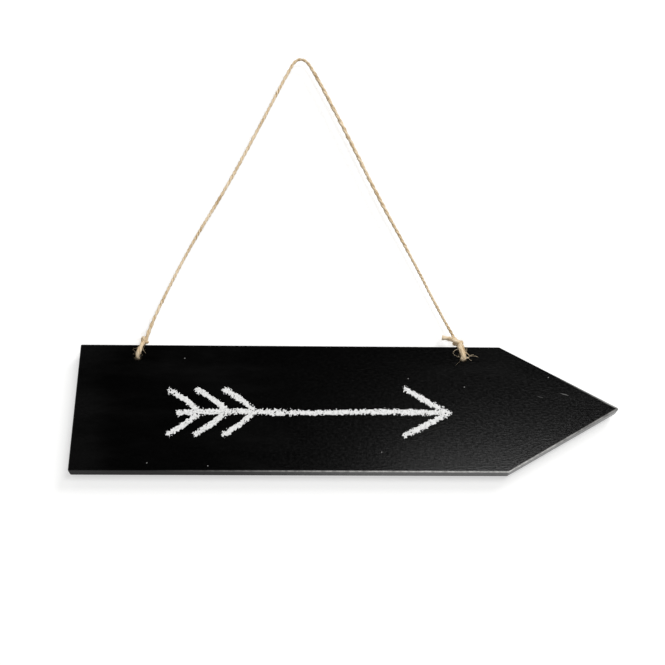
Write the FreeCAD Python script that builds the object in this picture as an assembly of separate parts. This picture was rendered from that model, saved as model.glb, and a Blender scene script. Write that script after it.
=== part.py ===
"""Chalkboard arrow sign: a black-painted wooden board cut to an arrow, hung on one length of jute twine.

Millimetres. The frame is the sign's own as it hangs: +Z up, +X towards the arrow's point, the writing
face towards -Y. The origin is the hang point, where a nail bears on the underside of the twine's bend.
"""
import FreeCAD, Part
import math
import os

Vector = FreeCAD.Vector

# Board
board_length = 210.0
board_height = 52.0
board_thickness = 5.0
point_length = 45.2
end_corner_radius = 0.6
shoulder_radius = 1.5
arris_radius = 0.5

# Drilled holes for the twine
hole_diameter = 2.6
hole_mouth_bevel = 0.5
hole_drop = 5.1
hole_from_left_end = 22.6
hole_from_shoulders = 14.7

# How the board hangs
hang_drop = 144.0
hang_from_left_end = 85.4

# Twine
twine_diameter = 1.25
twine_clearance = 0.35
arc_share_of_run = 0.45

# Knots: each is a half hitch drawn tight round the leg, with the outer form of two slanting turns
knot_diameter = 3.5
turn_height = 1.5
turn_pitch = 1.25
turn_bevel = 0.45
turn_slant = 14.0
left_tail_length = 2.6
left_tail_rise = 45.0
right_tail_length = 6.2
right_tail_rise = 14.0

# Places worked out from the sizes above
left_end_x = -hang_from_left_end
half_point_angle = math.atan2(board_height / 2, point_length)
rounded_off = end_corner_radius / math.sin(half_point_angle) - end_corner_radius
point_x = left_end_x + board_length + rounded_off
shoulder_x = point_x - point_length
top_z = -hang_drop
bottom_z = top_z - board_height
hole_z = top_z - hole_drop
left_hole_x = left_end_x + hole_from_left_end
right_hole_x = shoulder_x - hole_from_shoulders

# The twine's own route, chosen by hand: the knots over the holes, and the legs from knot to knot
left_knot = Vector(left_hole_x + 2.05, 0, top_z + 3.3)
right_knot = Vector(right_hole_x - 1.3, 0, top_z + 3.4)
legs = [
    Vector(-56.7, 0, -127.6),
    Vector(-8.4, 0, -13.5),
    Vector(-1.85, 0, 0.62),
    Vector(1.8, 0, 0.63),
    Vector(9.2, 0, -13.7),
    Vector(57.6, 0, -127.7),
]


def board():
    """The arrow: a flat blank with softened corners and arrises, and two drilled holes."""
    half = board_thickness / 2
    outline = [
        (left_end_x, bottom_z),
        (shoulder_x, bottom_z),
        (point_x, (top_z + bottom_z) / 2),
        (shoulder_x, top_z),
        (left_end_x, top_z),
    ]
    corners = [Vector(x, -half, z) for x, z in outline]
    blank = Part.Face(Part.makePolygon(corners + corners[:1])).extrude(Vector(0, board_thickness, 0))

    shoulders = [edge for edge in blank.Edges if runs_through(edge) and at_x(edge, shoulder_x)]
    blank = blank.makeFillet(shoulder_radius, shoulders)
    through = [edge for edge in blank.Edges if runs_through(edge)]
    ends = [edge for edge in through if at_x(edge, left_end_x) or at_x(edge, point_x)]
    blank = blank.makeFillet(end_corner_radius, ends)
    blank = blank.makeFillet(arris_radius, [edge for edge in blank.Edges if in_a_face(edge)])

    for x in (left_hole_x, right_hole_x):
        blank = blank.cut(drilled_hole(x))
    return blank


def same(a, b):
    """Whether two lengths are one, but for the last digits of a sum."""
    return math.isclose(a, b, abs_tol=1e-6)


def runs_through(edge):
    """Whether an edge goes straight through the board from face to face."""
    box = edge.BoundBox
    return same(box.YLength, board_thickness) and same(box.XLength + box.ZLength, 0)


def at_x(edge, x):
    return same(edge.CenterOfMass.x, x)


def in_a_face(edge):
    """Whether an edge lies in the front or the back face."""
    return same(edge.BoundBox.YLength, 0)


def drilled_hole(x):
    """What a drill and a countersink take out at one hole, from past the front face to past the back."""
    radius = hole_diameter / 2
    half = board_thickness / 2
    along = Vector(0, 1, 0)
    hole = Part.makeCylinder(radius, 2 * board_thickness, Vector(x, -board_thickness, hole_z), along)
    depth = 2 * hole_mouth_bevel
    for side in (-1, 1):
        mouth = Vector(x, side * (half + hole_mouth_bevel), hole_z)
        hole = hole.fuse(Part.makeCone(radius + depth, radius, depth, mouth, along * -side))
    return hole


def twine_route():
    """From the left knot through its hole, over the bend and through the other hole to the right knot."""
    radius = twine_diameter / 2
    stand_off = board_thickness / 2 + twine_clearance + radius
    bearing_z = hole_z + hole_diameter / 2 - twine_clearance - radius
    over_edge_z = top_z + radius
    left_loop = [
        left_knot + Vector(-0.1, -1.5, -0.4),
        Vector(left_hole_x + 1.1, -stand_off, over_edge_z),
        Vector(left_hole_x, -stand_off, bearing_z),
        Vector(left_hole_x, stand_off, bearing_z),
        Vector(left_hole_x + 1.0, stand_off, over_edge_z),
        left_knot + Vector(-0.2, 0, -0.9),
    ]
    right_loop = [
        right_knot + Vector(0.4, 0, -0.9),
        Vector(right_hole_x - 0.3, stand_off, over_edge_z),
        Vector(right_hole_x, stand_off, bearing_z),
        Vector(right_hole_x, -stand_off, bearing_z),
        Vector(right_hole_x - 0.4, -stand_off, over_edge_z),
        right_knot + Vector(0.2, -1.5, -0.4),
    ]
    return left_loop + legs + right_loop


def rounded_path(points):
    """Straight runs joined by tangent arcs, each arc as large as its two runs allow."""
    edges = []
    radii = []
    start = points[0]
    for before, corner, after in zip(points, points[1:], points[2:]):
        towards = (before - corner).normalize()
        away = (after - corner).normalize()
        half_turn = (math.pi - towards.getAngle(away)) / 2
        setback = arc_share_of_run * min((before - corner).Length, (after - corner).Length)
        radius = setback / math.tan(half_turn)
        inwards = (towards + away).normalize()
        arc_start = corner + towards * setback
        arc_middle = corner + inwards * (radius / math.cos(half_turn) - radius)
        arc_end = corner + away * setback
        edges.append(Part.LineSegment(start, arc_start).toShape())
        edges.append(Part.Arc(arc_start, arc_middle, arc_end).toShape())
        radii.append(radius)
        start = arc_end
    edges.append(Part.LineSegment(start, points[-1]).toShape())
    return Part.Wire(edges), radii


def knot(centre, leg_up):
    """Two turns of twine drawn round the leg, one above the other, slanting opposite ways."""
    across = Vector(0, 1, 0)
    turns = []
    for side in (-1, 1):
        slant = FreeCAD.Rotation(across, side * turn_slant)
        axis = slant.multVec(leg_up)
        middle = centre + leg_up * (side * turn_pitch / 2)
        turn = Part.makeCylinder(knot_diameter / 2, turn_height, middle - axis * (turn_height / 2), axis)
        rims = [edge for edge in turn.Edges if edge.isClosed()]
        turns.append(turn.makeChamfer(turn_bevel, rims))
    return turns[0].fuse(turns[1])


def tail(centre, length, rise):
    """A cut end that stands out of the front of a knot, to the left, rising by so many degrees."""
    start = centre + Vector(0, -twine_diameter, 0)
    slope = math.radians(rise)
    along = Vector(-math.cos(slope), 0, math.sin(slope))
    return Part.makeCylinder(twine_diameter / 2, length, start, along)


def twine():
    """One length of twine: the tube along its route, with its two knots and their cut tails."""
    points = twine_route()
    path, radii = rounded_path(points)
    section = Part.Wire(Part.makeCircle(twine_diameter / 2, points[0], points[1] - points[0]))
    tube = path.makePipeShell([section], True, False)
    print("twine bend radii:", ", ".join(f"{radius:.1f}" for radius in radii))
    print(f"twine length {path.Length:.1f}, volume {tube.Volume:.2f}",
          f"against section times length {math.pi * twine_diameter ** 2 / 4 * path.Length:.2f}")

    left_up = (legs[0] - left_knot).normalize()
    right_up = (legs[-1] - right_knot).normalize()
    return tube.multiFuse([
        knot(left_knot, left_up),
        knot(right_knot, right_up),
        tail(left_knot, left_tail_length, left_tail_rise),
        tail(right_knot, right_tail_length, right_tail_rise),
    ]).removeSplitter()


os.makedirs("parts", exist_ok=True)
for name, solid in (("arrow_board", board()), ("hanging_twine", twine())):
    print(name, "valid" if solid.isValid() else "not valid", f"{len(solid.Solids)} solid")
    solid.exportStep(f"parts/{name}.step")
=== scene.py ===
"""Chalkboard arrow sign: the finish of a black arrow board that hangs on knotted jute twine.

Metres, in the part's own frame: +Z up, +X towards the arrow's point, the writing face towards -Y, and the
origin at the hang point, under the twine's bend.
"""
import math
import random

import bmesh
import bpy
from mathutils import Matrix, Vector, noise
from mathutils.geometry import intersect_point_line


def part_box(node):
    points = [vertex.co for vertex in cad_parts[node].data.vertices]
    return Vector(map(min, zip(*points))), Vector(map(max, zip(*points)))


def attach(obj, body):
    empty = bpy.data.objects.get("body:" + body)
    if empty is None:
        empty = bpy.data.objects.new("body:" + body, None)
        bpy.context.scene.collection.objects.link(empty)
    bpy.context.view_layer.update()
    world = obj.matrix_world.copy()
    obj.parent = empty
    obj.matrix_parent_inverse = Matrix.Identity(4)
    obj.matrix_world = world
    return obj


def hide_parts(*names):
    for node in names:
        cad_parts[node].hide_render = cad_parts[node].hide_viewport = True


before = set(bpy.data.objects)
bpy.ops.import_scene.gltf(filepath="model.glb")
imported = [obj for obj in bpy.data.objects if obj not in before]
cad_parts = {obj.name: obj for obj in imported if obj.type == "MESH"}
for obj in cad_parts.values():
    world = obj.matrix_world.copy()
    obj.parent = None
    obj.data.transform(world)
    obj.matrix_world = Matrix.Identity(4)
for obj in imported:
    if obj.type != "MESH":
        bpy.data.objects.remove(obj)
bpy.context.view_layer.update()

bl_info = {
    "name": "Chalkboard Arrow Sign",
    "version": (1, 0, 0),
    "blender": (4, 5, 0),
    "location": "View3D > Sidebar > Arrow Sign",
    "description": "Paints the board, ties the twine, chalks the arrow and sets the studio",
    "category": "Object",
}

MM = 0.001

# The board's own places, from the frame
BOARD_LOW, BOARD_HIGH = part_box("arrow_board")
BOARD_FRONT = BOARD_LOW.y
BOARD_BACK = BOARD_HIGH.y
BOARD_TOP = BOARD_HIGH.z
BOARD_MIDDLE = (BOARD_LOW + BOARD_HIGH) / 2

# Where the board's straight edges end and its point begins, in millimetres
SHOULDER_X = 80.0

# Where the twine goes through the board and where its two half hitches sit, in millimetres
LEFT_HOLE_X = -62.8
RIGHT_HOLE_X = 65.3
TOP_Z = BOARD_TOP / MM
BEARING_Z = TOP_Z - 5.0
STAND_OFF = BOARD_BACK / MM + 1.1
LEFT_KNOT = Vector((-60.9, 0, TOP_Z + 2.5))
RIGHT_KNOT = Vector((63.9, 0, TOP_Z + 2.3))

# The two legs from knot to knot over the hang point, as x and z in the board's middle plane
LEG_POINTS = [
    (-59.9, -138.8),
    (-57.2, -128.8),
    (-44.7, -96.7),
    (-31.0, -68.6),
    (-17.2, -35.3),
    (-9.1, -15.3),
    (-5.8, -7.2),
    (-2.3, 0.6),
    (2.3, 0.6),
    (6.2, -7.0),
    (10.4, -16.2),
    (20.5, -40.2),
    (34.6, -75.2),
    (46.4, -101.4),
    (57.1, -127.2),
    (62.2, -138.2),
]

# How wide the strand lies in each half hitch, in millimetres
LEFT_STRAND = 0.95
RIGHT_STRAND = 1.1

# Length of twine from one ring of its mesh to the next
TWINE_STEP = 0.3 * MM

# A half hitch from where it leaves the loop to where its end crosses over in front, in strand widths to the
# front, to the left and up the leg
HITCH = [
    (1.5, 0.1, -1.0),
    (1.1, 0.75, 0.0),
    (0.0, 1.15, 0.7),
    (-1.1, 0.5, 0.8),
    (-1.1, -0.6, 0.4),
    (0.0, -1.2, -0.1),
    (1.5, -1.0, -0.6),
    (2.2, 0.1, -0.4),
]

# Long fibres that stand out of the frayed right loop: how thick each is, and its row of x, y and z
FRAYED_FIBRES = [
    (1.5, [(63.1, -4.6, -146.0), (61.7, -5.0, -146.6), (60.8, -5.1, -148.0), (61.9, -4.9, -149.1),
           (63.4, -4.5, -149.2)]),
    (1.8, [(65.3, -4.6, -146.6), (66.7, -5.0, -148.0), (67.9, -4.9, -149.4), (69.3, -4.4, -148.6),
           (71.0, -3.9, -149.0)]),
    (1.5, [(66.0, -4.7, -147.5), (67.2, -4.9, -148.8), (68.3, -4.7, -148.9), (69.3, -4.4, -148.0)]),
    (4.5, [(64.2, -5.0, -149.6), (64.5, -5.5, -150.9), (65.3, -5.7, -151.0), (66.8, -5.2, -149.7)]),
    (2.5, [(63.9, -4.8, -149.9), (64.2, -5.2, -151.0), (64.9, -5.4, -151.5), (65.3, -5.1, -150.8)]),
    (3.0, [(65.5, -5.0, -149.4), (66.2, -5.4, -150.3), (66.9, -5.2, -150.0), (67.5, -4.8, -149.2)]),
]

# Hairline scratches near the tip: the middle's x and z and the length in millimetres, and the strength
SCRATCHES = [
    (104.1, -164.2, 4.2, 0.6),
    (94.4, -165.3, 3.4, 0.25),
]
SCRATCH_SLOPE = math.radians(-16)
SCRATCH_WIDTH = 0.36 * MM

# Dust: how far apart the places for a speck lie, the radii of its dense middle and of the whole, all in
# millimetres, and the share of the places that are bare
DUST_SPACING = 11
SPECK_CORE = 0.066
SPECK_RADIUS = 0.308
DUST_FREE = 0.88

# The drawn arrow, from the board's left end and bottom edge in millimetres: shaft, head and feathers
CHALK_STROKES = [
    [(40.0, 23.4), (62.0, 24.1), (88.0, 23.5), (116.0, 24.2), (142.0, 23.9)],
    [(127.5, 33.6), (134.0, 29.4), (143.5, 23.8)],
    [(126.5, 14.6), (134.5, 18.6), (143.5, 23.8)],
    [(48.5, 23.6), (42.0, 29.0), (36.2, 32.4)],
    [(48.0, 23.6), (42.2, 18.4), (36.8, 15.0)],
    [(59.0, 24.0), (53.0, 29.0), (46.8, 32.8)],
    [(58.5, 24.0), (52.6, 18.8), (47.0, 14.8)],
    [(69.5, 24.0), (63.0, 29.4), (57.2, 33.0)],
    [(69.0, 24.0), (63.4, 18.6), (57.6, 14.7)],
]

# Where the soft lights stand, in metres: two from the board's middle, and the front one from the origin
KEY_FROM_BOARD = Vector((1.12, -1.48, 1.28))
BACK_FROM_BOARD = Vector((-0.35, 1.4, 0.45))
FRONT_LIGHT = Vector((0.28, -0.97, -0.075))
LARGE_SOFTBOX = 0.8
SMALL_SOFTBOX = 0.3

# The background paper, in metres: how far behind the board it hangs and how far below it lies, how far it
# goes on, the radius of its sweep, and how far from the board's middle its own white starts and stops growing
PAPER_BEHIND = 2.3 * MM
PAPER_BELOW = 0.6
PAPER_REACH = 6.0
SWEEP_RADIUS = 0.3
PAPER_NEAR = 0.14
PAPER_AWAY = 0.5

# The black flag behind the camera, in metres
FLAG_SIZE = 3.0
FLAG_PLACE = (0.05, -1.35, 0.8)


def linear(hex_code):
    """The linear colour of an sRGB hex value."""
    channels = [int(hex_code[i:i + 2], 16) / 255 for i in (1, 3, 5)]
    return tuple(c / 12.92 if c <= 0.04045 else ((c + 0.055) / 1.055) ** 2.4 for c in channels)


def repeats(size_mm):
    """How many times a pattern of this real size repeats in a metre."""
    return 1 / (size_mm * MM)


def smooth_step(low, high, value):
    t = min(max((value - low) / (high - low), 0.0), 1.0)
    return t * t * (3 - 2 * t)


class BoardPaint(bpy.types.PropertyGroup):
    paint: bpy.props.FloatVectorProperty(
        name="Paint", description="Dry chalkboard paint", subtype="COLOR", min=0, max=1,
        default=linear("#030303"))
    haze: bpy.props.FloatVectorProperty(
        name="Haze", description="Paint under a trace of wiped chalk", subtype="COLOR", min=0, max=1,
        default=linear("#161616"))
    dust: bpy.props.FloatVectorProperty(
        name="Dust", description="Specks and hairline scratches", subtype="COLOR", min=0, max=1,
        default=linear("#8F8F8D"))
    # Pale arris colour: partly paint wear down to the primer, partly a painted highlight where the lower
    # arris catches the light towards the right and at the tip.
    scuff_and_highlight: bpy.props.FloatVectorProperty(
        name="Scuffed Arris", description="Edge rubbed through to the pale primer", subtype="COLOR",
        min=0, max=1, default=linear("#E6E5E2"))
    stipple: bpy.props.FloatProperty(
        name="Roller Stipple", description="Height of a roller mark, half its width", unit="LENGTH",
        default=0.65 * MM, min=0.1 * MM)
    arris: bpy.props.FloatProperty(
        name="Arris Radius", description="Rounding of the board's edges", unit="LENGTH",
        default=0.5 * MM, min=0.1 * MM)


class JuteTwine(bpy.types.PropertyGroup):
    diameter: bpy.props.FloatProperty(
        name="Diameter", description="Across both plies on a leg", unit="LENGTH", default=1.4 * MM,
        min=0.5 * MM)
    lay: bpy.props.FloatProperty(
        name="Lay", description="Length in which the plies make one whole turn", unit="LENGTH",
        default=5.6 * MM, min=2 * MM)
    knot_swell: bpy.props.FloatProperty(
        name="Knot Swell", description="How much fatter the twine is in the left knot than on a leg",
        subtype="FACTOR", default=1.15, min=1, max=2.5)
    loop_swell: bpy.props.FloatProperty(
        name="Loop Swell", description="The same for a slack loop", subtype="FACTOR", default=1.32,
        min=1, max=2.5)
    frayed_swell: bpy.props.FloatProperty(
        name="Frayed Swell", description="The same for the frayed front of the right loop",
        subtype="FACTOR", default=1.72, min=1, max=2.5)
    tail_swell: bpy.props.FloatProperty(
        name="Tail Swell", description="The same for the right knot and its brushed-out tail",
        subtype="FACTOR", default=1.38, min=1, max=2.5)
    tail_length: bpy.props.FloatProperty(
        name="Tail Length", description="How far the right tail stands out of its knot", unit="LENGTH",
        default=6.0 * MM, min=0)
    pale: bpy.props.FloatVectorProperty(
        name="Pale Fibre", description="Fibre that catches the light", subtype="COLOR", min=0, max=1,
        default=linear("#F2E0C4"))
    middle: bpy.props.FloatVectorProperty(
        name="Fibre", description="Most of the fibres", subtype="COLOR", min=0, max=1,
        default=linear("#DFC6A0"))
    # Dark fibre colour: the darker streaks of the spun jute, and also the painted shade on the sides of the
    # plies that face each other.
    dark: bpy.props.FloatVectorProperty(
        name="Dark Fibre", description="Groove between the plies", subtype="COLOR", min=0, max=1,
        default=linear("#A98B62"))
    hairs: bpy.props.IntProperty(
        name="Hairs", description="Loose fibre ends along the twine", default=700, min=0)
    hair_length: bpy.props.FloatProperty(
        name="Hair Length", description="Usual length of a loose fibre end", unit="LENGTH",
        default=1.9 * MM, min=0.2 * MM)
    hair_width: bpy.props.FloatProperty(
        name="Hair Width", description="Thickness of one jute fibre", unit="LENGTH", default=0.08 * MM,
        min=0.01 * MM)


class ChalkMarks(bpy.types.PropertyGroup):
    colour: bpy.props.FloatVectorProperty(
        name="Chalk", description="White stick chalk", subtype="COLOR", min=0, max=1,
        default=linear("#EDEDEC"))
    thin: bpy.props.FloatVectorProperty(
        name="Thin Chalk", description="Where the board shows through the powder", subtype="COLOR",
        min=0, max=1, default=linear("#CFCFCE"))
    stroke: bpy.props.FloatProperty(
        name="Stroke", description="Width of a chalk stroke", unit="LENGTH", default=2.7 * MM,
        min=0.5 * MM)
    layer: bpy.props.FloatProperty(
        name="Layer", description="Thickness of the chalk on the board", unit="LENGTH",
        default=0.06 * MM, min=0.01 * MM)
    grain: bpy.props.FloatProperty(
        name="Grain", description="Smallest gap that the chalk skips", unit="LENGTH", default=0.2 * MM,
        min=0.1 * MM)


class Studio(bpy.types.PropertyGroup):
    camera: bpy.props.FloatVectorProperty(
        name="Camera", description="Where the camera stands", subtype="TRANSLATION", unit="LENGTH",
        default=(2.03 * MM, -387.5 * MM, -321.2 * MM))
    aim: bpy.props.FloatVectorProperty(
        name="Aim", description="Point in the middle of the picture", subtype="TRANSLATION", unit="LENGTH",
        default=(13.7 * MM, -2.5 * MM, -138.15 * MM))
    roll: bpy.props.FloatProperty(
        name="Roll", description="Tilt of the camera about its line of sight", subtype="ANGLE",
        default=math.radians(-0.34))
    lens: bpy.props.FloatProperty(
        name="Lens", description="Focal length on a 36 mm frame", unit="CAMERA", default=57.98, min=10)
    key: bpy.props.FloatProperty(
        name="Key Light", description="Softbox at the upper right", unit="POWER", default=24.0, min=0)
    front: bpy.props.FloatProperty(
        name="Front Light", description="Softbox that the lower right of the board mirrors", unit="POWER",
        default=3.6, min=0)
    back: bpy.props.FloatProperty(
        name="Back Light", description="Softbox behind the sign", unit="POWER", default=11.0, min=0)
    ambient: bpy.props.FloatProperty(
        name="Ambient", description="Light from the white room", default=0.36, min=0, max=1)
    paper: bpy.props.FloatVectorProperty(
        name="Paper", description="White background paper", subtype="COLOR", min=0, max=1,
        default=linear("#C6C6C5"))
    lift: bpy.props.FloatProperty(
        name="Lift", description="How much of its own white the paper adds behind the sign, where it is seen",
        subtype="FACTOR", default=0.54, min=0, max=1)
    lift_away: bpy.props.FloatProperty(
        name="Lift Away", description="How much of its own white the paper adds away from the sign",
        subtype="FACTOR", default=0.86, min=0, max=1)


def add_node(tree, kind, sockets=None, **settings):
    """Adds a node with its settings; a socket takes a plain value or the output that feeds it."""
    node = tree.nodes.new(kind)
    for name, value in settings.items():
        setattr(node, name, value)
    for name, value in (sockets or {}).items():
        if isinstance(value, bpy.types.NodeSocket):
            tree.links.new(value, node.inputs[name])
        else:
            node.inputs[name].default_value = value
    return node


def new_material(name):
    """An empty node material and its tree."""
    material = bpy.data.materials.new(name)
    material.use_nodes = True
    material.node_tree.nodes.clear()
    return material, material.node_tree


def opaque(colour):
    return (*colour, 1.0)


def select_only(piece):
    """Leaves one object selected and active, as a click does."""
    bpy.ops.object.select_all(action="DESELECT")
    piece.select_set(True)
    bpy.context.view_layer.objects.active = piece


def wiped_haze(tree, place, x):
    """Cloudy traces of chalk, wiped along the board and left thickest at its left end."""
    wiped = add_node(tree, "ShaderNodeMapping", {
        "Vector": place, "Scale": (repeats(60), repeats(60), repeats(16))}).outputs[0]
    cloud = add_node(tree, "ShaderNodeTexNoise", {
        "Vector": wiped, "Scale": 1.0, "Detail": 5.0, "Roughness": 0.62}).outputs["Fac"]
    at_left_end = add_node(tree, "ShaderNodeMapRange", {
        "Value": x, "From Min": BOARD_LOW.x, "From Max": BOARD_LOW.x + 22 * MM, "To Min": 0.2, "To Max": 0.0},
        interpolation_type="SMOOTHSTEP").outputs["Result"]
    thick = add_node(tree, "ShaderNodeMath", {0: cloud, 1: at_left_end}, operation="ADD").outputs[0]
    return add_node(tree, "ShaderNodeMapRange", {
        "Value": thick, "From Min": 0.45, "From Max": 0.8},
        interpolation_type="SMOOTHSTEP").outputs["Result"]


def specks_and_scratches(tree, face):
    """Scattered specks of dust, and the hairline scratches near the tip."""
    cell = add_node(tree, "ShaderNodeTexVoronoi", {"Vector": face, "Scale": repeats(DUST_SPACING)},
                    voronoi_dimensions="2D").outputs
    draw = add_node(tree, "ShaderNodeSeparateColor", {"Color": cell["Color"]}).outputs["Red"]
    chosen = add_node(tree, "ShaderNodeMath", {0: draw, 1: DUST_FREE}, operation="GREATER_THAN").outputs[0]
    dot = add_node(tree, "ShaderNodeMapRange", {
        "Value": cell["Distance"], "From Min": SPECK_CORE / DUST_SPACING,
        "From Max": SPECK_RADIUS / DUST_SPACING, "To Min": 1.0, "To Max": 0.0},
        interpolation_type="SMOOTHSTEP").outputs["Result"]
    marks = add_node(tree, "ShaderNodeMath", {0: chosen, 1: dot}, operation="MULTIPLY").outputs[0]
    for x, z, length, strength in SCRATCHES:
        along = add_node(tree, "ShaderNodeMapping", {
            "Vector": face, "Location": (x * MM, z * MM, 0), "Rotation": (0, 0, SCRATCH_SLOPE),
            "Scale": (length / 2 * MM, SCRATCH_WIDTH / 2, 1.0)}, vector_type="TEXTURE").outputs[0]
        away = add_node(tree, "ShaderNodeVectorMath", {0: along}, operation="LENGTH").outputs["Value"]
        line = add_node(tree, "ShaderNodeMapRange", {
            "Value": away, "From Min": 0.4, "From Max": 1.0, "To Min": strength, "To Max": 0.0},
            interpolation_type="SMOOTHSTEP").outputs["Result"]
        marks = add_node(tree, "ShaderNodeMath", {0: marks, 1: line}, operation="MAXIMUM").outputs[0]
    return marks


def beside_edge(tree, axes, above_middle, look):
    """One along the lower edge and both slanting edges of the point, fading out within an arris of them.

    The upper half of the board is folded down on the lower one, so that one slant serves for both.
    """
    shoulder = Vector((SHOULDER_X * MM, BOARD_LOW.z))
    inwards = (Vector((BOARD_HIGH.x, BOARD_MIDDLE.z)) - shoulder).orthogonal().normalized()
    above_bottom = add_node(tree, "ShaderNodeMath", {
        0: axes["Z"], 1: BOARD_LOW.z}, operation="SUBTRACT").outputs[0]
    off_middle = add_node(tree, "ShaderNodeMath", {0: above_middle}, operation="ABSOLUTE").outputs[0]
    folded_z = add_node(tree, "ShaderNodeMath", {
        0: BOARD_MIDDLE.z, 1: off_middle}, operation="SUBTRACT").outputs[0]
    folded = add_node(tree, "ShaderNodeCombineXYZ", {"X": axes["X"], "Y": folded_z}).outputs[0]
    from_shoulder = add_node(tree, "ShaderNodeVectorMath", {
        0: folded, 1: (*shoulder, 0)}, operation="SUBTRACT").outputs["Vector"]
    above_slant = add_node(tree, "ShaderNodeVectorMath", {
        0: from_shoulder, 1: (*inwards, 0)}, operation="DOT_PRODUCT").outputs["Value"]
    above_edge = add_node(tree, "ShaderNodeMath", {
        0: above_bottom, 1: above_slant}, operation="MINIMUM").outputs[0]
    return add_node(tree, "ShaderNodeMapRange", {
        "Value": above_edge, "From Min": 0.3 * look.arris, "From Max": 1.3 * look.arris,
        "To Min": 1.0, "To Max": 0.0}, interpolation_type="SMOOTHSTEP").outputs["Result"]


def worn_and_highlit_edges(tree, place, axes, look):
    """How pale the front arris is, by wear and painted highlight, and how dull the sawn side behind it is.

    Towards the right the lower arris is paler, and near the tip both arrises are: partly paint wear, and
    partly a painted highlight where the arris catches the light. Hands have polished the lower side towards
    the right. Elsewhere the sawn side soaked up its paint and has no sheen.
    """
    above_middle = add_node(tree, "ShaderNodeMath", {
        0: axes["Z"], 1: BOARD_MIDDLE.z}, operation="SUBTRACT").outputs[0]
    along_edge = beside_edge(tree, axes, above_middle, look)
    in_front = add_node(tree, "ShaderNodeMapRange", {
        "Value": axes["Y"], "From Min": BOARD_FRONT + 0.6 * look.arris,
        "From Max": BOARD_FRONT + 1.1 * look.arris, "To Min": 1.0, "To Max": 0.0},
        interpolation_type="SMOOTHSTEP").outputs["Result"]
    arris = add_node(tree, "ShaderNodeMath", {0: along_edge, 1: in_front}, operation="MULTIPLY").outputs[0]

    # The pale arris is partly wear and partly painted highlight: on the lower arris it grows towards the
    # right and fades towards the tip, and on the upper one it shows near the tip, where the arris catches the
    # light.
    to_the_right = add_node(tree, "ShaderNodeMapRange", {
        "Value": axes["X"], "From Min": -60 * MM, "From Max": 55 * MM},
        interpolation_type="SMOOTHSTEP").outputs["Result"]
    to_the_point = add_node(tree, "ShaderNodeMapRange", {
        "Value": axes["X"], "From Min": SHOULDER_X * MM, "From Max": BOARD_HIGH.x - 15 * MM,
        "To Min": 1.0, "To Max": 0.4}).outputs["Result"]
    lower = add_node(tree, "ShaderNodeMath", {
        0: to_the_right, 1: to_the_point}, operation="MULTIPLY").outputs[0]
    upper = add_node(tree, "ShaderNodeMapRange", {
        "Value": axes["X"], "From Min": (SHOULDER_X + 20) * MM, "From Max": BOARD_HIGH.x - 4 * MM,
        "To Max": 0.45}).outputs["Result"]
    in_upper_half = add_node(tree, "ShaderNodeMath", {
        0: above_middle, 1: 0.0}, operation="GREATER_THAN").outputs[0]
    wear_and_highlight_share = add_node(tree, "ShaderNodeMix", {
        "Factor": in_upper_half, 2: lower, 3: upper}, data_type="FLOAT").outputs[0]
    patchy = add_node(tree, "ShaderNodeTexNoise", {
        "Vector": place, "Scale": repeats(2.2), "Detail": 4.0, "Roughness": 0.6}).outputs["Fac"]
    gone = add_node(tree, "ShaderNodeMapRange", {
        "Value": patchy, "From Min": 0.34, "From Max": 0.62, "To Min": 0.55},
        interpolation_type="SMOOTHSTEP").outputs["Result"]
    # Paint wear and painted highlight together, on the front arris only.
    patchy_wear_and_highlight = add_node(tree, "ShaderNodeMath", {0: wear_and_highlight_share, 1: gone}, operation="MULTIPLY").outputs[0]
    arris_wear_and_highlight = add_node(tree, "ShaderNodeMath", {0: patchy_wear_and_highlight, 1: arris}, operation="MULTIPLY").outputs[0]

    sawn = add_node(tree, "ShaderNodeMath", {
        0: along_edge, 1: in_front}, operation="SUBTRACT", use_clamp=True).outputs[0]
    unpolished = add_node(tree, "ShaderNodeMath", {
        0: 1.0, 1: to_the_right}, operation="SUBTRACT").outputs[0]
    dull = add_node(tree, "ShaderNodeMath", {0: sawn, 1: unpolished}, operation="MULTIPLY").outputs[0]
    return arris_wear_and_highlight, dull


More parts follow.
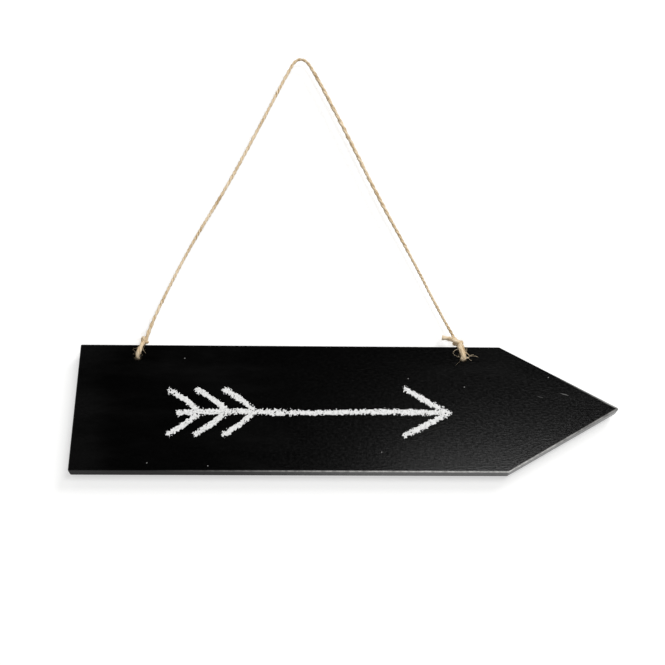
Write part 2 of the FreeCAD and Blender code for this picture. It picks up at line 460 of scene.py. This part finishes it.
def chalkboard_paint(look):
    """Chalkboard paint: matt black, rolled on, so it has a fine stipple that breaks up a soft sheen.

    It holds a trace of wiped chalk and some dust, its front arris is pale along the lower edges, partly from
    paint wear and partly as a painted highlight, and its lower side is duller than its face.
    """
    material, tree = new_material("Rolled chalkboard paint")
    place = add_node(tree, "ShaderNodeTexCoord").outputs["Object"]
    axes = add_node(tree, "ShaderNodeSeparateXYZ", {"Vector": place}).outputs
    face = add_node(tree, "ShaderNodeCombineXYZ", {"X": axes["X"], "Y": axes["Z"]}).outputs[0]
    rolled = add_node(tree, "ShaderNodeMapping", {
        "Vector": face, "Scale": (0.5 / look.stipple, 1 / look.stipple, 1.0)}).outputs[0]
    stipple = add_node(tree, "ShaderNodeTexNoise", {
        "Vector": rolled, "Scale": 1.0, "Detail": 2.0, "Roughness": 0.55}).outputs["Fac"]

    hazy = wiped_haze(tree, place, axes["X"])
    grainy = add_node(tree, "ShaderNodeMath", {0: hazy, 1: stipple}, operation="MULTIPLY").outputs[0]
    coat = add_node(tree, "ShaderNodeMix", {
        "Factor": grainy, 6: opaque(look.paint), 7: opaque(look.haze)}, data_type="RGBA").outputs[2]
    marks = specks_and_scratches(tree, face)
    dusty = add_node(tree, "ShaderNodeMix", {
        "Factor": marks, 6: coat, 7: opaque(look.dust)}, data_type="RGBA").outputs[2]
    # The pale arris mixed in below is partly paint wear and partly a painted highlight, towards the right and
    # at the tip.
    arris_wear_and_highlight, dull = worn_and_highlit_edges(tree, place, axes, look)
    colour = add_node(tree, "ShaderNodeMix", {
        "Factor": arris_wear_and_highlight, 6: dusty, 7: opaque(look.scuff_and_highlight)}, data_type="RGBA").outputs[2]

    rolled_sheen = add_node(tree, "ShaderNodeMapRange", {
        "Value": stipple, "From Min": 0.3, "From Max": 0.7, "To Min": 0.24, "To Max": 0.14}).outputs["Result"]
    roughness = add_node(tree, "ShaderNodeMix", {
        "Factor": dull, 2: rolled_sheen, 3: 0.75}, data_type="FLOAT").outputs[0]
    bumps = add_node(tree, "ShaderNodeBump", {
        "Height": stipple, "Strength": 0.5, "Distance": 0.05 * MM}).outputs["Normal"]
    shader = add_node(tree, "ShaderNodeBsdfPrincipled", {
        "Base Color": colour, "Roughness": roughness, "Specular IOR Level": 0.2, "Normal": bumps})
    add_node(tree, "ShaderNodeOutputMaterial", {"Surface": shader.outputs[0]})
    return material


def jute(look):
    """Jute: bast fibre spun into soft plies, so fine pale and dark streaks run along each ply's turns.

    The map is in millimetres along and round a ply. Real fibres are about 0.05 mm wide, and are drawn at
    three times that so that they show. The sides of the plies that face each other are darkened with
    painted shade.
    """
    material, tree = new_material("Spun jute")
    lie = add_node(tree, "ShaderNodeUVMap", uv_map="Lie").outputs["UV"]
    along = add_node(tree, "ShaderNodeMapping", {
        "Vector": lie, "Scale": (1 / 3.0, 1 / 0.16, 1.0)}).outputs[0]
    streak = add_node(tree, "ShaderNodeTexNoise", {
        "Vector": along, "Scale": 1.0, "Detail": 3.0, "Roughness": 0.6},
        noise_dimensions="2D").outputs["Fac"]
    uneven = add_node(tree, "ShaderNodeMapping", {
        "Vector": lie, "Scale": (1 / 9.0, 1 / 2.0, 1.0)}).outputs[0]
    batch = add_node(tree, "ShaderNodeTexNoise", {
        "Vector": uneven, "Scale": 1.0, "Detail": 2.0}, noise_dimensions="2D").outputs["Fac"]
    tone = add_node(tree, "ShaderNodeMath", {0: streak, 1: batch}, operation="ADD").outputs[0]
    pale = add_node(tree, "ShaderNodeMapRange", {
        "Value": tone, "From Min": 0.85, "From Max": 1.25},
        interpolation_type="SMOOTHSTEP").outputs["Result"]
    fibre = add_node(tree, "ShaderNodeMix", {
        "Factor": pale, 6: opaque(look.middle), 7: opaque(look.pale)}, data_type="RGBA").outputs[2]
    deep = add_node(tree, "ShaderNodeMapRange", {
        "Value": tone, "From Min": 0.96, "From Max": 0.74, "To Max": 0.9},
        interpolation_type="SMOOTHSTEP").outputs["Result"]
    # Painted shade: the sides of the plies that face each other are darkened towards the dark fibre colour,
    # on top of the darker streaks.
    painted_ply_shade = add_node(tree, "ShaderNodeAttribute", attribute_name="painted_ply_shade").outputs["Fac"]
    shade = add_node(tree, "ShaderNodeMath", {0: deep, 1: painted_ply_shade}, operation="MAXIMUM").outputs[0]
    colour = add_node(tree, "ShaderNodeMix", {
        "Factor": shade, 6: fibre, 7: opaque(look.dark)}, data_type="RGBA").outputs[2]
    ridges = add_node(tree, "ShaderNodeBump", {
        "Height": streak, "Strength": 0.5, "Distance": 0.08 * MM}).outputs["Normal"]
    shader = add_node(tree, "ShaderNodeBsdfPrincipled", {
        "Base Color": colour, "Roughness": 0.82, "Specular IOR Level": 0.25, "Normal": ridges})
    add_node(tree, "ShaderNodeOutputMaterial", {"Surface": shader.outputs[0]})
    return material


def loose_jute(look):
    """Single jute fibres: paler than the twine and a little glossy."""
    material, tree = new_material("Loose jute fibre")
    place = add_node(tree, "ShaderNodeTexCoord").outputs["Object"]
    patch = add_node(tree, "ShaderNodeTexNoise", {
        "Vector": place, "Scale": repeats(1.5), "Detail": 2.0}).outputs["Fac"]
    colour = add_node(tree, "ShaderNodeMix", {
        "Factor": patch, 6: opaque(look.middle), 7: opaque(look.pale)}, data_type="RGBA").outputs[2]
    shader = add_node(tree, "ShaderNodeBsdfPrincipled", {
        "Base Color": colour, "Roughness": 0.6, "Specular IOR Level": 0.35})
    add_node(tree, "ShaderNodeOutputMaterial", {"Surface": shader.outputs[0]})
    return material


def stick_chalk(look):
    """Stick chalk: gypsum powder rubbed off on the stipple, so it is dead matt and unevenly dense."""
    material, tree = new_material("Rubbed stick chalk")
    place = add_node(tree, "ShaderNodeTexCoord").outputs["Object"]
    powder = add_node(tree, "ShaderNodeTexNoise", {
        "Vector": place, "Scale": repeats(0.9), "Detail": 4.0, "Roughness": 0.65}).outputs["Fac"]
    density = add_node(tree, "ShaderNodeMapRange", {
        "Value": powder, "From Min": 0.36, "From Max": 0.56},
        interpolation_type="SMOOTHSTEP").outputs["Result"]
    colour = add_node(tree, "ShaderNodeMix", {
        "Factor": density, 6: opaque(look.thin), 7: opaque(look.colour)}, data_type="RGBA").outputs[2]
    crumbs = add_node(tree, "ShaderNodeBump", {
        "Height": powder, "Strength": 0.4, "Distance": 0.05 * MM}).outputs["Normal"]
    shader = add_node(tree, "ShaderNodeBsdfPrincipled", {
        "Base Color": colour, "Roughness": 0.95, "Specular IOR Level": 0.1, "Normal": crumbs})
    add_node(tree, "ShaderNodeOutputMaterial", {"Surface": shader.outputs[0]})
    return material


def seen_or_mirrored(tree):
    """One for a ray from the camera, straight or by way of a mirror or glass, and nought for others."""
    path = add_node(tree, "ShaderNodeLightPath").outputs
    mirrored = add_node(tree, "ShaderNodeMath", {
        0: path["Is Glossy Ray"], 1: path["Is Transmission Ray"]}, operation="MAXIMUM").outputs[0]
    return add_node(tree, "ShaderNodeMath", {
        0: path["Is Camera Ray"], 1: mirrored}, operation="MAXIMUM").outputs[0]


def background_paper(look):
    """Matt white paper that adds some white of its own where it is seen, and shows only from its front."""
    material, tree = new_material("Matt white background paper")
    away = add_node(tree, "ShaderNodeVectorMath", {
        0: add_node(tree, "ShaderNodeTexCoord").outputs["Object"], 1: BOARD_MIDDLE},
        operation="DISTANCE").outputs["Value"]
    lift = add_node(tree, "ShaderNodeMapRange", {
        "Value": away, "From Min": PAPER_NEAR, "From Max": PAPER_AWAY, "To Min": look.lift,
        "To Max": look.lift_away}, interpolation_type="SMOOTHSTEP").outputs["Result"]
    strength = add_node(tree, "ShaderNodeMath", {
        0: seen_or_mirrored(tree), 1: lift}, operation="MULTIPLY").outputs[0]
    lit = add_node(tree, "ShaderNodeBsdfDiffuse", {"Color": opaque(look.paper)})
    glow = add_node(tree, "ShaderNodeEmission", {"Color": (1, 1, 1, 1), "Strength": strength})
    front = add_node(tree, "ShaderNodeAddShader", {0: lit.outputs[0], 1: glow.outputs[0]})
    behind = add_node(tree, "ShaderNodeBsdfTransparent")
    sided = add_node(tree, "ShaderNodeMixShader", {
        "Fac": add_node(tree, "ShaderNodeNewGeometry").outputs["Backfacing"],
        1: front.outputs[0], 2: behind.outputs[0]})
    add_node(tree, "ShaderNodeOutputMaterial", {"Surface": sided.outputs[0]})
    return material


def hitched(knot, leg_point, strand_width):
    """The points of a half hitch round a leg that leaves the knot towards leg_point."""
    front = Vector((0, -1, 0))
    up = (leg_point - knot).normalized()
    left = front.cross(up)
    return [knot + strand_width * (a * front + b * left + c * up) for a, b, c in HITCH]


def twine_route():
    """The twine from its left tail to its right one, in millimetres."""
    legs = [Vector((x, 0, z)) for x, z in LEG_POINTS]
    left = [Vector((-61.3, -1.8, TOP_Z + 3.4)), Vector((-61.1, -2.0, TOP_Z + 2.9))]
    left += reversed(hitched(LEFT_KNOT, legs[1], LEFT_STRAND))
    left += [
        Vector((LEFT_HOLE_X + 1.5, -STAND_OFF, TOP_Z - 0.6)),
        Vector((LEFT_HOLE_X + 0.1, -STAND_OFF, TOP_Z - 4.7)),
        Vector((LEFT_HOLE_X, 0, BEARING_Z)),
        Vector((LEFT_HOLE_X, STAND_OFF, BEARING_Z)),
        Vector((LEFT_HOLE_X + 0.8, STAND_OFF, TOP_Z + 0.9)),
        Vector((LEFT_HOLE_X + 1.7, 0, TOP_Z + 1.3)),
    ]
    right = [
        Vector((RIGHT_HOLE_X - 1.0, 0, TOP_Z + 1.3)),
        Vector((RIGHT_HOLE_X - 0.3, STAND_OFF, TOP_Z + 0.9)),
        Vector((RIGHT_HOLE_X, STAND_OFF, BEARING_Z)),
        Vector((RIGHT_HOLE_X, 0, BEARING_Z)),
        Vector((RIGHT_HOLE_X + 0.2, -STAND_OFF, TOP_Z - 5.0)),
        Vector((RIGHT_HOLE_X - 0.8, -STAND_OFF, TOP_Z - 0.4)),
    ]
    right += hitched(RIGHT_KNOT, legs[-2], RIGHT_STRAND)
    right += [Vector((61.3, -2.3, TOP_Z + 3.6)), Vector((57.4, -1.9, TOP_Z + 4.2))]
    return left + legs + right


def twine_line():
    """Points at even steps along the route's smooth spline, and its length."""
    curve = bpy.data.curves.new("twine_route", "CURVE")
    curve.dimensions = "3D"
    curve.resolution_u = 48
    route = twine_route()
    spline = curve.splines.new("NURBS")
    spline.points.add(len(route) - 1)
    for point, place in zip(spline.points, route):
        point.co = (*(place * MM), 1)
    spline.order_u = 3
    spline.use_endpoint_u = True
    holder = bpy.data.objects.new("twine_route", curve)
    bpy.context.scene.collection.objects.link(holder)
    bpy.context.view_layer.update()
    mesh = bpy.data.meshes.new_from_object(holder.evaluated_get(bpy.context.evaluated_depsgraph_get()))
    read = [vertex.co.copy() for vertex in mesh.vertices]
    bpy.data.objects.remove(holder)
    bpy.data.curves.remove(curve)
    bpy.data.meshes.remove(mesh)
    return evenly_spaced(read, TWINE_STEP)


def evenly_spaced(points, step):
    """The same line with its points at equal steps, so that the plies turn evenly, and its length."""
    lengths = [0.0]
    for a, b in zip(points, points[1:]):
        lengths.append(lengths[-1] + (b - a).length)
    count = round(lengths[-1] / step)
    spaced = []
    i = 0
    for k in range(count + 1):
        s = lengths[-1] * k / count
        while i < len(points) - 2 and lengths[i + 1] < s:
            i += 1
        share = (s - lengths[i]) / max(lengths[i + 1] - lengths[i], 1e-9)
        spaced.append(points[i].lerp(points[i + 1], share))
    return spaced, lengths[-1]


def carried_frames(points):
    """The direction at each point with two sides square to it, carried along without turning."""
    frames = []
    side = Vector((0, 1, 0))
    for before, after in zip([points[0]] + points[:-1], points[1:] + [points[-1]]):
        ahead = (after - before).normalized()
        side = (side - ahead * side.dot(ahead)).normalized()
        frames.append((ahead, side, ahead.cross(side)))
    return frames


def swell(point, to_end, look):
    """How fat the twine is at a point, against a leg of the plain diameter.

    It is unevenly spun, slack in its knots and loops, and brushed out at its right tail.
    """
    fat = 1 + 0.2 * smooth_step(0, 10 * MM, point.x) - 0.35 * smooth_step(25 * MM, 55 * MM, point.x)
    fat -= 0.08 * smooth_step(-25 * MM, -45 * MM, point.x)
    slack_from = 16 * MM if point.x < 0 else 6 * MM
    in_knot = smooth_step(BOARD_TOP + slack_from, BOARD_TOP + 3 * MM, point.z)
    knot = look.knot_swell if point.x < 0 else look.tail_swell
    fat += (knot - fat) * in_knot
    in_front = smooth_step(-1.5 * MM, -3.0 * MM, point.y) if point.x > 0 else 0.0
    loop = look.loop_swell + (look.frayed_swell - look.loop_swell) * in_front
    loop_from = 1.5 * MM if point.x < 0 else 2.5 * MM
    fat += (loop - fat) * smooth_step(BOARD_TOP + loop_from, BOARD_TOP - 1.0 * MM, point.z)
    at_tail = smooth_step(look.tail_length + 1.2 * MM, look.tail_length - 1.2 * MM, to_end)
    return fat + (look.tail_swell - fat) * at_tail


class ARROWSIGN_OT_paint_board(bpy.types.Operator):
    """Give the board its coat of rolled chalkboard paint"""
    bl_idname = "arrow_sign.paint_board"
    bl_label = "Paint Board"

    def execute(self, context):
        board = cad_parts["arrow_board"]
        board.data.materials.clear()
        board.data.materials.append(chalkboard_paint(context.scene.arrow_sign_paint))
        return {"FINISHED"}


class ARROWSIGN_OT_tie_twine(bpy.types.Operator):
    """Spin two jute plies along the knotted route, with the loose fibres that stand out of them"""
    bl_idname = "arrow_sign.tie_twine"
    bl_label = "Tie Twine"

    # A ply's section, with its radius and its distance from the middle as shares of the twine's diameter, and
    # what slack twine adds to both
    SIDES = 12
    PLY_RADIUS = 0.345
    PLY_RADIUS_SLACK = 0.025
    PLY_OUT = 0.16
    PLY_OUT_SLACK = -0.03

    # Lengths in which a ply's fibres make one turn, in which it grows thick and thin and is tousled, and in
    # which the twist of the plies grows loose and tight
    FIBRE_LAY = 3.4 * MM
    UNEVEN_LENGTH = 4 * MM
    TOUSLED_LENGTH = 1.1 * MM
    TWIST_LENGTH = 11 * MM

    # How far it is round a ply, in the millimetres of its map
    PLY_GIRTH = 2.4

    HAIR_SEED = 5304

    def execute(self, context):
        look = context.scene.arrow_sign_twine
        points, length = twine_line()
        twine = self.plies(points, length, look)
        hairs = self.hairs(points, length, look)
        for piece in (twine, hairs):
            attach(piece, "root")
        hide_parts("hanging_twine")
        return {"FINISHED"}

    def plies(self, points, length, look):
        """Two lobed strands turned round each other to the left, closed at their cut ends."""
        vertices = []
        faces = []
        lies = []
        painted_ply_shades = []
        frames = carried_frames(points)
        step = length / (len(points) - 1)
        fats = [swell(point, length - i * step, look) for i, point in enumerate(points)]
        turns = self.turns(fats, frames[-1], step, look)
        for ply in range(2):
            first = len(vertices)
            for i, (point, (ahead, side, across)) in enumerate(zip(points, frames)):
                s = i * step
                fat = fats[i] * (1 + 0.14 * noise.noise(Vector((s / self.UNEVEN_LENGTH, 3.1 * ply, 0.5))))
                slack = smooth_step(1.1, 1.4, fats[i])
                tousled = smooth_step(1.35, 1.65, fats[i])
                turn = turns[i] + math.pi * ply
                out = math.cos(turn) * side + math.sin(turn) * across
                over = ahead.cross(out)
                centre = point + out * ((self.PLY_OUT + self.PLY_OUT_SLACK * slack) * look.diameter * fat)
                plain_radius = (self.PLY_RADIUS + self.PLY_RADIUS_SLACK * slack) * look.diameter * fat
                spin = math.tau * s / self.FIBRE_LAY
                for k in range(self.SIDES):
                    angle = math.tau * k / self.SIDES
                    lobed = 1 + 0.07 * math.cos(3 * angle + spin) + 0.06 * math.cos(5 * angle - 2 * spin)
                    stray = noise.noise(Vector((s / self.TOUSLED_LENGTH, angle * 1.3, 5.0 * ply)))
                    radius = plain_radius * (lobed + 0.3 * tousled * stray)
                    vertices.append(centre + radius * (math.cos(angle) * out + math.sin(angle) * over))
                    lies.append((s / MM, angle / math.tau * self.PLY_GIRTH))
                    # Painted shade between the plies: the side of a ply that faces the other ply, less where
                    # the twine is slack.
                    painted_ply_shades.append((0.7 - 0.5 * slack) * smooth_step(0.0, -0.55, math.cos(angle)))
            for i in range(len(points) - 1):
                for k in range(self.SIDES):
                    a = first + i * self.SIDES + k
                    b = first + i * self.SIDES + (k + 1) % self.SIDES
                    faces.append((a, b, b + self.SIDES, a + self.SIDES))
            faces.append(tuple(range(first + self.SIDES - 1, first - 1, -1)))
            faces.append(tuple(range(len(vertices) - self.SIDES, len(vertices))))
        mesh = bpy.data.meshes.new("jute_twine")
        mesh.from_pydata(vertices, [], faces)
        mesh.shade_smooth()
        layer = mesh.uv_layers.new(name="Lie")
        for loop in mesh.loops:
            u, v = lies[loop.vertex_index]
            layer.data[loop.index].uv = (u, v)
        mesh.attributes.new("painted_ply_shade", "FLOAT", "POINT").data.foreach_set("value", painted_ply_shades)
        mesh.materials.append(jute(look))
        twine = bpy.data.objects.new("jute_twine", mesh)
        bpy.context.scene.collection.objects.link(twine)
        return twine

    def turns(self, fats, last_frame, step, look):
        """How far the plies have turned at each point: less where slack, and ending one above the other."""
        turns = [0.0]
        for i, fat in enumerate(fats[1:]):
            uneven = 1 + 0.4 * noise.noise(Vector((i * step / self.TWIST_LENGTH, 9.7, 0.2)))
            turns.append(turns[-1] - math.tau * step * uneven / (look.lay * fat ** 2))
        ahead, side, across = last_frame
        upright = math.atan2(across.z, side.z)
        return [turn - turns[-1] + upright for turn in turns]

    def hairs(self, points, length, look):
        """Loose fibre ends along the twine, most at its loops and tails, and the long frayed ones."""
        rng = random.Random(self.HAIR_SEED)
        curve = bpy.data.curves.new("jute_fibres", "CURVE")
        curve.dimensions = "3D"
        curve.resolution_u = 3
        curve.bevel_depth = look.hair_width / 2
        curve.bevel_resolution = 0
        curve.use_fill_caps = True
        frames = carried_frames(points)
        made = 0
        while made < look.hairs:
            i = rng.randrange(4, len(points) - 4)
            fat = swell(points[i], length * (1 - i / len(points)), look)
            if rng.random() > 0.2 + 1.2 * (fat - 1):
                continue
            ahead, side, across = frames[i]
            turn = rng.uniform(0, math.tau)
            out = math.cos(turn) * side + math.sin(turn) * across
            way = ahead * rng.choice((-1, 1))
            reach = look.hair_length * rng.uniform(0.4, 1.7) * (0.5 + 0.5 * fat)
            lean = rng.uniform(0.25, 0.8)
            curl = out.cross(way) * rng.uniform(-0.5, 0.5)
            root = points[i] + out * (0.35 * look.diameter * fat)
            tip = root + reach * (0.9 * way + lean * out + curl)
            if tip.y > BOARD_BACK + 1.8 * MM:
                continue
            self.fibre(curve, [
                root,
                root + reach * (0.35 * way + 0.2 * lean * out),
                root + reach * (0.7 * way + 0.6 * lean * out + 0.3 * curl),
                tip,
            ], 1.0)
            made += 1
        for strands, row in FRAYED_FIBRES:
            self.fibre(curve, [Vector(place) * MM for place in row], strands)
        hairs = bpy.data.objects.new("jute_fibres", curve)
        bpy.context.scene.collection.objects.link(hairs)
        select_only(hairs)
        bpy.ops.object.convert(target="MESH")
        hairs.data.materials.append(loose_jute(look))
        return hairs

    def fibre(self, curve, places, strands):
        """One smooth fibre, or a few strands stuck together, that thins towards its tip."""
        spline = curve.splines.new("NURBS")
        spline.points.add(len(places) - 1)
        for i, (point, place) in enumerate(zip(spline.points, places)):
            point.co = (*place, 1)
            point.radius = strands * (1 - 0.6 * i / (len(places) - 1))
        spline.order_u = 3
        spline.use_endpoint_u = True


class ARROWSIGN_OT_chalk_arrow(bpy.types.Operator):
    """Rub a plain arrow on the board in stick chalk"""
    bl_idname = "arrow_sign.chalk_arrow"
    bl_label = "Chalk Arrow"

    # Lengths over which a stroke wanders, its edges are ragged, the chalk skips and the hand bears down
    WANDER = 6 * MM
    RAG = 1.0 * MM
    SKIP = 0.45 * MM
    PRESS = 9 * MM

    def execute(self, context):
        look = context.scene.arrow_sign_chalk
        corner = Vector((BOARD_LOW.x, BOARD_FRONT - look.layer, BOARD_LOW.z))
        strokes = [[corner + Vector((x, 0, z)) * MM for x, z in row] for row in CHALK_STROKES]
        marks = self.sheet(strokes, look)
        self.rub_off(marks, strokes, look)
        chalk = marks.data
        chalk.materials.append(stick_chalk(look))
        chalk.shade_smooth()
        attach(marks, "root")
        return {"FINISHED"}

    def sheet(self, strokes, look):
        """A fine grid over all the strokes, just in front of the board."""
        places = [place for row in strokes for place in row]
        low = Vector(min(place[i] for place in places) - look.stroke for i in range(3))
        high = Vector(max(place[i] for place in places) + look.stroke for i in range(3))
        width = high.x - low.x
        height = high.z - low.z
        bpy.ops.object.select_all(action="DESELECT")
        bpy.ops.mesh.primitive_grid_add(
            x_subdivisions=round(width / look.grain), y_subdivisions=round(height / look.grain), size=1,
            location=((low.x + high.x) / 2, BOARD_FRONT - look.layer, (low.z + high.z) / 2),
            rotation=(math.pi / 2, 0, 0))
        bpy.ops.transform.resize(value=(width, 1, height))
        bpy.ops.object.transform_apply(location=True, rotation=True, scale=True)
        marks = bpy.context.object
        marks.name = "chalk_arrow"
        marks.data.name = "chalk_arrow"
        return marks

    def rub_off(self, marks, strokes, look):
        """Deletes the cells that the chalk skipped, softens the rest and gives it its thickness."""
        bpy.ops.object.mode_set(mode="EDIT")
        bpy.ops.mesh.select_mode(type="FACE")
        bpy.ops.mesh.select_all(action="DESELECT")
        cells = bmesh.from_edit_mesh(marks.data)
        for cell in cells.faces:
            if not self.chalked(cell.calc_center_median(), strokes, look):
                cell.select_set(True)
        bmesh.update_edit_mesh(marks.data)
        bpy.ops.mesh.delete(type="FACE")
        bpy.ops.mesh.select_all(action="SELECT")
        bpy.ops.mesh.vertices_smooth(factor=0.5, repeat=1)
        bpy.ops.object.mode_set(mode="OBJECT")
        layer = marks.modifiers.new("Chalk layer", "SOLIDIFY")
        layer.thickness = look.layer * 1.1
        layer.offset = -1
        bpy.ops.object.modifier_apply(modifier=layer.name)

    def chalked(self, place, strokes, look):
        """Whether chalk took here: mostly along a stroke's middle, in tatters at its edges and ends."""
        best = -1.0
        lifted = min((place - end).length for row in strokes for end in (row[0], row[-1]))
        for number, row in enumerate(strokes):
            for a, b in zip(row, row[1:]):
                share = intersect_point_line(place, a, b)[1]
                near = a.lerp(b, min(max(share, 0.0), 1.0))
                off = (place - near).length / (look.stroke / 2)
                along = Vector((near.x / self.WANDER, near.z / self.WANDER, 4.0 * number))
                wobble = 0.16 * noise.noise(along)
                best = max(best, 1.0 + wobble - off)
        ragged = noise.noise(Vector((place.x, 0, place.z)) / self.RAG)
        skipped = noise.noise(Vector((place.x, 0.02, place.z)) / self.SKIP)
        pressed = noise.noise(Vector((place.x, 0.05, place.z)) / self.PRESS)
        light = 0.5 - 0.4 * pressed + 0.35 * smooth_step(4 * MM, 1 * MM, lifted)
        return min(best, 0.62) + 0.4 * ragged + light * skipped > 0.2


class ARROWSIGN_OT_set_stage(bpy.types.Operator):
    """Set the white paper, the soft lights and the camera"""
    bl_idname = "arrow_sign.set_stage"
    bl_label = "Set Stage"

    def execute(self, context):
        look = context.scene.arrow_sign_studio
        self.paper(look)
        self.flag()
        self.room(context.scene, look)
        self.softbox("key_softbox", BOARD_MIDDLE + KEY_FROM_BOARD, LARGE_SOFTBOX, look.key, mirrored=False)
        self.softbox("back_softbox", BOARD_MIDDLE + BACK_FROM_BOARD, LARGE_SOFTBOX, look.back, mirrored=False)
        self.softbox("front_softbox", FRONT_LIGHT, SMALL_SOFTBOX, look.front, mirrored=True)
        self.camera(context.scene, look)
        return {"FINISHED"}

    def paper(self, look):
        """A paper sweep: it hangs behind the sign and curves forward to the floor."""
        behind = BOARD_BACK + PAPER_BEHIND
        floor = BOARD_LOW.z - PAPER_BELOW
        bpy.ops.object.select_all(action="DESELECT")
        bpy.ops.mesh.primitive_plane_add(size=2 * PAPER_REACH, location=(0, behind - PAPER_REACH, floor))
        bpy.ops.object.transform_apply(location=True, rotation=True, scale=True)
        paper = bpy.context.object
        paper.name = "paper_sweep"
        bpy.ops.object.mode_set(mode="EDIT")
        bpy.ops.mesh.select_mode(type="EDGE")
        self.pick_fold(paper, behind, floor)
        bpy.ops.mesh.extrude_region_move(TRANSFORM_OT_translate={"value": (0, 0, PAPER_REACH)})
        self.pick_fold(paper, behind, floor)
        bpy.ops.mesh.bevel(offset=SWEEP_RADIUS, segments=16)
        bpy.ops.object.mode_set(mode="OBJECT")
        bpy.ops.object.shade_smooth_by_angle(angle=math.radians(30))
        paper.data.materials.append(background_paper(look))
        paper.visible_shadow = False
        paper.visible_diffuse = False

    def pick_fold(self, paper, behind, floor):
        """Selects the one edge where the floor meets the wall."""
        bpy.ops.mesh.select_all(action="DESELECT")
        sheet = bmesh.from_edit_mesh(paper.data)
        for edge in sheet.edges:
            edge.select_set(all(abs(v.co.y - behind) < MM and abs(v.co.z - floor) < MM for v in edge.verts))
        bmesh.update_edit_mesh(paper.data)

    def flag(self):
        """A black cloth behind the camera, which the board mirrors and which stops no light."""
        bpy.ops.mesh.primitive_plane_add(size=FLAG_SIZE, location=FLAG_PLACE, rotation=(math.pi / 2, 0, 0))
        bpy.ops.object.transform_apply(location=True, rotation=True, scale=True)
        cloth = bpy.context.object
        cloth.name = "black_flag"
        material, tree = new_material("Black flag cloth")
        black = add_node(tree, "ShaderNodeBsdfDiffuse", {"Color": (0, 0, 0, 1)})
        add_node(tree, "ShaderNodeOutputMaterial", {"Surface": black.outputs[0]})
        cloth.data.materials.append(material)
        cloth.visible_camera = False
        cloth.visible_diffuse = False
        cloth.visible_shadow = False
        cloth.visible_transmission = False

    def room(self, scene, look):
        """An even white room: white where it is seen or mirrored, and a soft light on the rest."""
        world = bpy.data.worlds.new("studio_room")
        world.use_nodes = True
        tree = world.node_tree
        tree.nodes.clear()
        strength = add_node(tree, "ShaderNodeMapRange", {
            "Value": seen_or_mirrored(tree), "To Min": look.ambient, "To Max": 1.0}).outputs["Result"]
        light = add_node(tree, "ShaderNodeBackground", {"Color": (1, 1, 1, 1), "Strength": strength})
        add_node(tree, "ShaderNodeOutputWorld", {"Surface": light.outputs[0]})
        scene.world = world

    def softbox(self, name, place, size, power, mirrored):
        """A square soft light that faces the board, and may show in its gloss."""
        facing = (BOARD_MIDDLE - place).to_track_quat("-Z", "Y").to_euler()
        bpy.ops.object.light_add(type="AREA", location=place, rotation=facing)
        lamp = bpy.context.object
        lamp.name = name
        lamp.data.shape = "SQUARE"
        lamp.data.size = size
        lamp.data.energy = power
        lamp.visible_glossy = mirrored

    def camera(self, scene, look):
        """A camera at the photograph's place, height and tilt."""
        place = Vector(look.camera)
        turned = (Vector(look.aim) - place).to_track_quat("-Z", "Y").to_matrix()
        turned = turned @ Matrix.Rotation(look.roll, 3, "Z")
        bpy.ops.object.camera_add(location=place, rotation=turned.to_euler())
        camera = bpy.context.object
        camera.name = "camera"
        camera.data.lens = look.lens
        camera.data.sensor_width = 36
        camera.data.clip_start = 0.01
        scene.camera = camera
        scene.view_settings.view_transform = "Standard"


class ARROWSIGN_PT_sign(bpy.types.Panel):
    bl_label = "Chalkboard Arrow Sign"
    bl_idname = "ARROWSIGN_PT_sign"
    bl_space_type = "VIEW_3D"
    bl_region_type = "UI"
    bl_category = "Arrow Sign"

    def draw(self, context):
        for operator, looks in STEPS:
            box = self.layout.box()
            box.operator(operator.bl_idname)
            group = getattr(context.scene, looks)
            for name in group.bl_rna.properties.keys():
                if name not in ("rna_type", "name"):
                    box.prop(group, name)


LOOKS = {
    "arrow_sign_paint": BoardPaint,
    "arrow_sign_twine": JuteTwine,
    "arrow_sign_chalk": ChalkMarks,
    "arrow_sign_studio": Studio,
}
STEPS = [
    (ARROWSIGN_OT_paint_board, "arrow_sign_paint"),
    (ARROWSIGN_OT_tie_twine, "arrow_sign_twine"),
    (ARROWSIGN_OT_chalk_arrow, "arrow_sign_chalk"),
    (ARROWSIGN_OT_set_stage, "arrow_sign_studio"),
]
CLASSES = [*LOOKS.values(), *(operator for operator, looks in STEPS), ARROWSIGN_PT_sign]


def register():
    for cls in CLASSES:
        bpy.utils.register_class(cls)
    for name, group in LOOKS.items():
        setattr(bpy.types.Scene, name, bpy.props.PointerProperty(type=group))


def unregister():
    for name in LOOKS:
        delattr(bpy.types.Scene, name)
    for cls in reversed(CLASSES):
        bpy.utils.unregister_class(cls)


def main():
    register()
    bpy.ops.arrow_sign.paint_board()
    bpy.ops.arrow_sign.tie_twine()
    bpy.ops.arrow_sign.chalk_arrow()
    bpy.ops.arrow_sign.set_stage()


if __name__ == "__main__":
    main()
